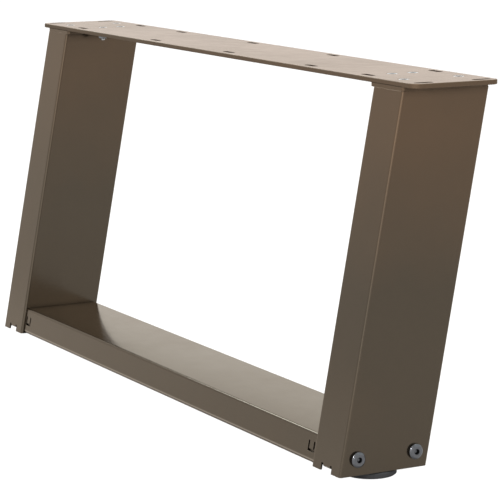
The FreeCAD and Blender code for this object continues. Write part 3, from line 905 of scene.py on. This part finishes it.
@dataclass
class RailBolt(TurnedPart):
    """Button-head bolt through a post into the foot rail. Sizes in metres."""

    head: float = 8.0 * MM
    head_height: float = 4.4 * MM
    rim: float = 2.8 * MM
    flat: float = 6.0 * MM
    key: float = 5.0 * MM
    key_depth: float = 2.6 * MM
    lead: float = 3.1 * MM
    shank: float = 4.0 * MM
    pitch: float = 1.25 * MM
    threaded: float = 26.0 * MM
    foot: float = 0.25 * MM
    overlap: float = 0.1 * MM
    bands: int = 12
    facets: int = 20

    def model(self, length: float) -> Turnery:
        """Model the bolt from under its head, with the head along +Z.

        Args:
            length: its length under the head.

        Returns:
            The mesh.
        """
        bolt = Turnery()
        top = bolt.dome(self.head, self.rim, self.flat, self.head_height, self.bands)
        bolt.socket(top, self.head_height, self.key, self.key_depth, self.lead)
        wall = bolt.carry(bolt.ring(self.head, self.rim), self.foot, circle(self.head))
        base = bolt.carry(wall, 0, circle(self.head - self.foot))
        neck = bolt.carry(base, 0, circle(self.shank))
        bolt.close(bolt.carry(neck, self.threaded - length, circle(self.shank)))
        bolt.flip()
        bolt.thread(self.shank, self.pitch, length - self.threaded - self.overlap, length,
                    self.facets)
        bolt.flip()
        return bolt

    def fit(self, side: Side, edge: Edge) -> None:
        """Replace one CAD bolt.

        Args:
            side: the post that it goes through.
            edge: the edge of the leg that it is near.
        """
        node = f"{side.word}_{edge.value}_rail_bolt"
        start, end = along(node, 0)
        outer = end if side is Side.RIGHT else start
        under = outer - Vector((side.value * self.head_height, 0, 0))
        place = Matrix.Translation(under) @ Matrix.Rotation(side.value * math.pi / 2, 4, "Y")
        name, length = f"{side.word}_{edge.value}_button_bolt", (end - start).length
        self.settle(node, name, length - self.head_height, place, "leg", Slot.DARK)


@dataclass
class PlateScrew(TurnedPart):
    """Countersunk screw that holds the plate to a flange. Sizes in metres."""

    head: float = 6.0 * MM
    shank: float = 3.0 * MM
    key: float = 4.0 * MM
    key_depth: float = 2.2 * MM
    lead: float = 3.8 * MM
    rim: float = 0.3 * MM
    bevel: float = 0.15 * MM
    pitch: float = 1.0 * MM
    overlap: float = 0.3 * MM
    facets: int = 18

    def model(self, length: float) -> Turnery:
        """Model the screw from the top of its head down.

        Args:
            length: its length over all.

        Returns:
            The mesh.
        """
        screw = Turnery()
        top = screw.loop(self.head - self.bevel, 0)
        screw.socket(top, 0, self.key, self.key_depth, self.lead)
        wall = screw.carry(top, -self.bevel, circle(self.head))
        skirt = screw.carry(wall, -self.rim, circle(self.head))
        cone = screw.carry(skirt, -self.rim - (self.head - self.shank), circle(self.shank))
        screw.close(cone)
        screw.flip()
        screw.thread(self.shank, self.pitch, self.rim + self.head - self.shank - self.overlap,
                     length, self.facets)
        screw.flip()
        return screw

    def fit(self, side: Side, ring: str, edge: Edge) -> None:
        """Replace one CAD screw.

        Args:
            side: the end of the plate.
            ring: whether it is the outer or the inner pair.
            edge: the edge of the leg that it is near.
        """
        node = f"{side.word}_{ring}_{edge.value}_screw"
        start, end = along(node, 2)
        name, length = f"{side.word}_{ring}_{edge.value}_sunk_screw", (end - start).length
        self.settle(node, name, length, Matrix.Translation(end), "leg", Slot.BRIGHT)


@dataclass
class LevellingFoot(TurnedPart):
    """Plastic foot pad with its threaded stem, under one post. Sizes in metres."""

    side: Side
    collar: float = 9.0 * MM
    collar_top: float = 2.75 * MM
    collar_bevel: float = 0.3 * MM
    stem: float = 5.0 * MM
    pitch: float = 1.5 * MM
    drive: float = 14.0 * MM
    drive_from: float = 7.75 * MM
    drive_to: float = 10.55 * MM
    overlap: float = 0.2 * MM
    facets: int = 28

    def model(self, length: float) -> Turnery:
        """Model the stem from its collar's underside up.

        Args:
            length: its length over all.

        Returns:
            The mesh.
        """
        stem = Turnery()
        outline = stem.loop(self.collar, 0)
        stem.close(outline)
        rod, drive = circle(self.stem), hexagon(self.drive)
        for height, shape in ((self.collar_top - self.collar_bevel, circle(self.collar)),
                              (self.collar_top, circle(self.collar - self.collar_bevel)),
                              (self.collar_top, rod), (self.drive_from, rod),
                              (self.drive_from, drive), (self.drive_to, drive)):
            outline = stem.carry(outline, height, shape)
        stem.close(outline)
        stem.thread(self.stem, self.pitch, self.drive_to - self.overlap, length, self.facets)
        return stem

    def dress(self) -> None:
        """Replace the stem and give the pad and what carries it their finishes."""
        word = self.side.word
        start, end = along(f"{word}_foot_stem", 2)
        self.settle(f"{word}_foot_stem", f"{word}_threaded_stem", (end - start).length,
                    Matrix.Translation(start), f"{word}_stem", Slot.ZINC)
        self.wardrobe.dress_node(f"{word}_foot_pad", Slot.CHARCOAL)
        self.wardrobe.dress_node(f"{word}_foot_plate", Slot.ZINC)


@dataclass
class Fastenings:
    """Bolts, screws, nuts, sleeves and brackets of the whole leg."""

    wardrobe: Wardrobe

    def build(self) -> None:
        """Replace the fasteners that have threads, keys or chamfers, and dress the rest."""
        bolt, screw = RailBolt(self.wardrobe), PlateScrew(self.wardrobe)
        small = HexNut(self.wardrobe, 10.0 * MM, 3.0 * MM)
        middle = HexNut(self.wardrobe, 13.0 * MM, 4.0 * MM)
        large = HexNut(self.wardrobe, 17.0 * MM, 5.0 * MM)
        for side in Side:
            self.wardrobe.dress_node(f"{side.word}_rail_bracket", Slot.BRONZE)
            large.fit(f"{side.word}_foot_nut", 2, 1)
            for edge in Edge:
                bolt.fit(side, edge)
                middle.fit(f"{side.word}_{edge.value}_rail_nut", 0, -side.value)
                self.wardrobe.dress_node(f"{side.word}_{edge.value}_sleeve", Slot.ZINC)
                for ring in ("outer", "inner"):
                    screw.fit(side, ring, edge)
                    small.fit(f"{side.word}_{ring}_{edge.value}_nut", 2, -1)


def facing(place: Point, target: Point) -> Euler:
    """Return the turn that points a lamp or camera from its place at a target."""
    return (Vector(target) - Vector(place)).to_track_quat("-Z", "Y").to_euler()


@dataclass(frozen=True)
class Softbox:
    """A square soft lamp. Places and side in metres, power in watts."""

    name: str
    place: Point
    target: Point
    side: float
    power: float
    colour: Colour = WHITE

    def hang(self) -> None:
        """Add the lamp to the studio."""
        data = bpy.data.lights.new(self.name, "AREA")
        data.size, data.energy, data.color = self.side, self.power, self.colour
        lamp = bpy.data.objects.new(self.name, data)
        lamp.location, lamp.rotation_euler = self.place, facing(self.place, self.target)
        bpy.context.collection.objects.link(lamp)


@dataclass(frozen=True)
class Studio:
    """Pale floor, soft light and the photograph's viewpoint. Sizes in metres."""

    floor_z: float = -0.402
    floor_drop: float = 0.0002
    floor_size: float = 14.0
    paper: Colour = (0.86, 0.86, 0.86)
    paper_glow: float = 1.14
    paper_mirrored: float = 0.72
    faint: float = 0.86
    glow_way: Point = (0.5, -0.866, 0.0)
    glow_spread: Span = (0.55, 0.95)
    glow: float = 0.42
    # Where the painted shadow under the leg lies, and how dark it is.
    leg_middle: float = -0.071
    leg_depth: Span = (0.047, 0.060)
    leg_length: Span = (0.43, 0.45)
    under_leg: float = 0.25
    low_sky: Colour = (0.97, 0.88, 0.82)
    high_sky: Colour = (1.16, 1.23, 1.25)
    sky_behind: Span = (0.0, 0.2)
    sky_rise: Span = (0.11, 0.20)
    sky_fill: float = 0.55
    sky_seen: float = 0.65
    lens: float = 168.1
    sensor: float = 36.0
    far: float = 50.0
    eye: Point = (2.3695, -1.2986, 0.2350)
    aim: Point = (0.0404, -0.0106, -0.2310)
    lamps: tuple[Softbox, ...] = (
        Softbox("overhead_softbox", (0.2, 0.0, 2.3), (0.0, 0.0, -0.2), 2.6, 42.0),
        Softbox("front_softbox", (1.5, -2.6, 0.30), (0.0, 0.0, -0.2), 1.2, 4.0),
        Softbox("far_softbox", (-1.2, -0.35, 0.75), (0.2, 0.0, -0.3), 0.6, 8.0, (0.76, 0.90, 1.0)),
        Softbox("side_softbox", (1.8, 1.05, 0.38), (-0.37, -0.08, -0.33), 0.7, 1.9),
        Softbox("glint_softbox", (2.55, -2.76, 1.42), (0.43, -0.1, -0.38), 0.5, 40.0),
        Softbox("key_softbox", (1.53, -1.27, 1.58), (0.2, 0.0, -0.3), 0.45, 10.0),
    )

    def build(self) -> None:
        """Add the floor, the light and the camera."""
        self._floor()
        self._sky()
        for lamp in self.lamps:
            lamp.hang()
        self._camera()
        bpy.context.scene.view_settings.view_transform = "Standard"

    def _floor(self) -> None:
        """Lay a pale floor that takes the shadow."""
        mesh = bmesh.new()
        bmesh.ops.create_grid(mesh, x_segments=2, y_segments=2, size=self.floor_size / 2)
        bmesh.ops.translate(mesh, verts=mesh.verts, vec=(0, 0, self.floor_z - self.floor_drop))
        data = bpy.data.meshes.new("studio_floor")
        mesh.to_mesh(data)
        mesh.free()
        floor = bpy.data.objects.new("studio_floor", data)
        bpy.context.collection.objects.link(floor)
        data.materials.append(self._floor_finish())

    def _floor_finish(self) -> Material:
        """Make white paper: bright when mirrored, faint for the camera and clear from below.

        Returns:
            The floor's material.
        """
        material = bpy.data.materials.new("studio_paper")
        material.use_nodes = True
        wiring = Wiring(material.node_tree)
        nodes = material.node_tree.nodes
        nodes.remove(nodes["Principled BSDF"])
        path, spot = wiring.add("ShaderNodeLightPath"), wiring.add("ShaderNodeNewGeometry")
        place = spot.outputs["Position"]
        lit = wiring.maths("ADD", self._front_glow(wiring, place), self.paper_glow)
        strength = wiring.maths("MULTIPLY", lit, self._uncovered(wiring, place))
        glow = wiring.add("ShaderNodeEmission", Strength=strength)
        paper = wiring.add("ShaderNodeBsdfDiffuse", Color=(*self.paper, 1.0))
        share = wiring.maths("MULTIPLY", wiring.mirrored(path), self.paper_mirrored)
        sheet = wiring.mix(share, paper.outputs[0], glow.outputs[0])
        faint = wiring.maths("MULTIPLY", path.outputs["Is Camera Ray"], self.faint)
        clear = wiring.maths("MAXIMUM", faint, spot.outputs["Backfacing"])
        nothing = wiring.add("ShaderNodeBsdfTransparent")
        whole = wiring.mix(clear, sheet, nothing.outputs[0])
        wiring.join(whole, nodes["Material Output"].inputs["Surface"])
        return material

    def _front_glow(self, wiring: Wiring, way: NodeSocket) -> NodeSocket:
        """Brighten what the folds reflect, in front and to the right.

        Args:
            wiring: the wiring of the world or the floor.
            way: the socket with the direction, of any length.

        Returns:
            The socket with the added brightness.
        """
        unit = wiring.add("ShaderNodeVectorMath", way, operation="NORMALIZE")
        front = wiring.add("ShaderNodeVectorMath", unit.outputs[0], self.glow_way,
                           operation="DOT_PRODUCT")
        return wiring.remap(front.outputs["Value"], *self.glow_spread, 0.0, self.glow)

    def _uncovered(self, wiring: Wiring, place: NodeSocket) -> NodeSocket:
        """Paint a shadow into the floor's glow right under the leg, seen in reflections.

        Args:
            wiring: the floor's wiring.
            place: the socket with the position.

        Returns:
            The socket with the share of light that is left.
        """
        x, y, _ = wiring.split(place)
        across = wiring.maths("ABSOLUTE", wiring.maths("SUBTRACT", y, self.leg_middle))
        beside = wiring.remap(across, *self.leg_depth, self.under_leg, 1.0)
        past = wiring.remap(wiring.maths("ABSOLUTE", x), *self.leg_length, self.under_leg, 1.0)
        return wiring.maths("MAXIMUM", beside, past)

    def _sky(self) -> None:
        """Light the leg evenly on white, warmer low down behind it and brighter in front."""
        world = bpy.data.worlds.new("studio_world")
        world.use_nodes = True
        bpy.context.scene.world = world
        wiring = Wiring(world.node_tree)
        background = world.node_tree.nodes["Background"]
        path = wiring.add("ShaderNodeLightPath")
        mirrored = wiring.mirrored(path)
        way = wiring.add("ShaderNodeTexCoord").outputs["Generated"]
        _, y, z = wiring.split(way)
        behind = wiring.maths("MULTIPLY", wiring.remap(y, *self.sky_behind), mirrored)
        rise = wiring.remap(z, *self.sky_rise)
        backdrop = wiring.blend(rise, self.low_sky, self.high_sky)
        wiring.join(wiring.blend(behind, WHITE, backdrop), background.inputs["Color"])
        seen = wiring.maths("MULTIPLY", path.outputs["Is Camera Ray"], self.sky_seen)
        plain = wiring.maths("ADD", wiring.remap(mirrored, 0.0, 1.0, self.sky_fill, 1.0), seen)
        glow = wiring.maths("MULTIPLY", self._front_glow(wiring, way), mirrored)
        wiring.join(wiring.maths("ADD", plain, glow), background.inputs["Strength"])

    def _camera(self) -> None:
        """Set the camera at the photograph's viewpoint."""
        data = bpy.data.cameras.new("photo_camera")
        data.lens, data.sensor_width, data.clip_end = self.lens, self.sensor, self.far
        camera = bpy.data.objects.new("photo_camera", data)
        camera.location, camera.rotation_euler = self.eye, facing(self.eye, self.aim)
        bpy.context.collection.objects.link(camera)
        bpy.context.scene.camera = camera


def main() -> None:
    """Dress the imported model, add the new pieces and set up the studio."""
    logging.basicConfig(level=logging.INFO, format="%(name)s: %(message)s")
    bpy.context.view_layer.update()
    wardrobe = Wardrobe()
    CoatedFrame(wardrobe).dress()
    Fastenings(wardrobe).build()
    for side in Side:
        LevellingFoot(wardrobe, side).dress()
    Studio().build()


if __name__ == "__main__":
    main()
